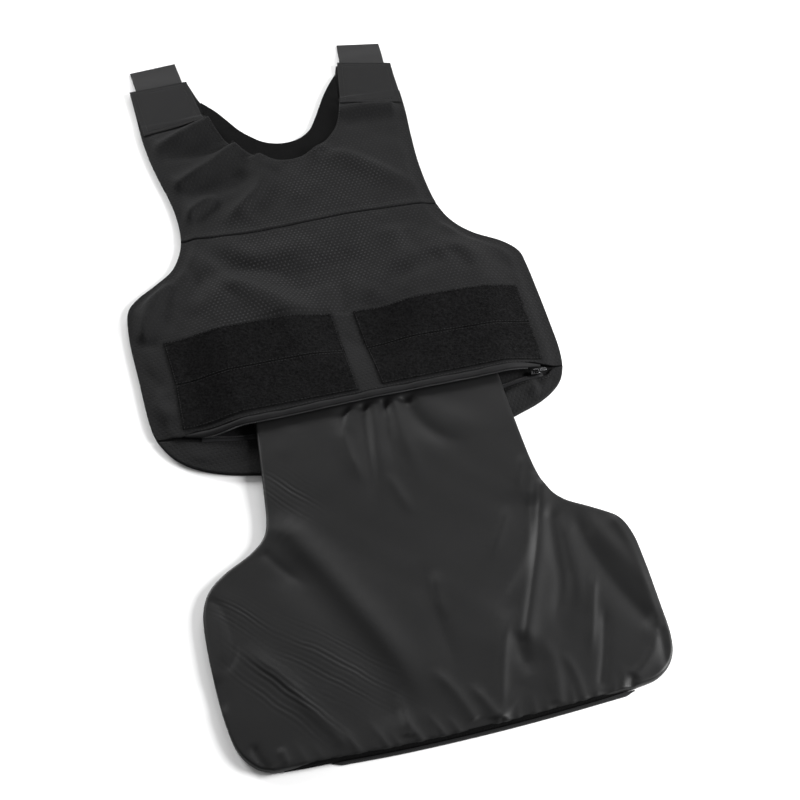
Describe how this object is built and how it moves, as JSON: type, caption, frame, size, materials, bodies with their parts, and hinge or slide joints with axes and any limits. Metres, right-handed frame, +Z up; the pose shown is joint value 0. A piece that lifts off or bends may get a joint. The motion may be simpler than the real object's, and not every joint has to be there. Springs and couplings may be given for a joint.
{
  "type": "bulletproof vest front carrier with its ballistic panel",
  "caption": "Black front carrier of a concealable armoured vest lying flat, its soft ballistic panel pulled out of the bottom zip.",
  "frame": {"origin": "on the surface that the vest lies on, under the middle of its bounding box", "axes": "+Y up the body from the panel's foot to the shoulder straps, +X to the right as seen from the front, +Z up out of the front"},
  "size_m": [0.3989, 0.8636, 0.019],
  "materials": {
    "carrier_knit": "matt black knit with a fine staggered pattern of holes",
    "facing_cloth": "smooth matt black cloth",
    "tab_cloth": "brushed dark grey cloth",
    "elastic": "woven dark grey elastic",
    "loop_pile": "black loop pile",
    "zip_nylon": "black nylon coil and tape",
    "zip_metal": "plated metal",
    "panel_cover": "thin black coated nylon with a soft sheen"
  },
  "bodies": {
    "carrier": {"back_shell": "carrier_knit", "yoke": "carrier_knit", "front_body": "carrier_knit", "hem_panel": "carrier_knit", "zip_welt": "carrier_knit", "neck_facing": "facing_cloth", "shoulder_tab_left": "tab_cloth", "shoulder_tab_right": "tab_cloth", "shoulder_strap_left": "elastic", "shoulder_strap_right": "elastic", "loop_left_upper": "loop_pile", "loop_left_lower": "loop_pile", "loop_right_upper": "loop_pile", "loop_right_lower": "loop_pile", "zip_coil_upper": "zip_nylon", "zip_coil_lower": "zip_nylon", "zip_tape_lower": "zip_nylon", "zip_slider": "zip_metal", "ballistic_panel": "panel_cover", "panel_seam_flange": "panel_cover"},
    "zip_pull": {"zip_pull": "zip_metal"}
  },
  "joints": [
    {"name": "pull_flip", "type": "hinge", "parent": "carrier", "child": "zip_pull", "pos_m": [0.16595, -0.09282, 0.00895], "axis": [-0.0523, -0.9986, 0], "range_deg": [0, 130]}
  ]
}
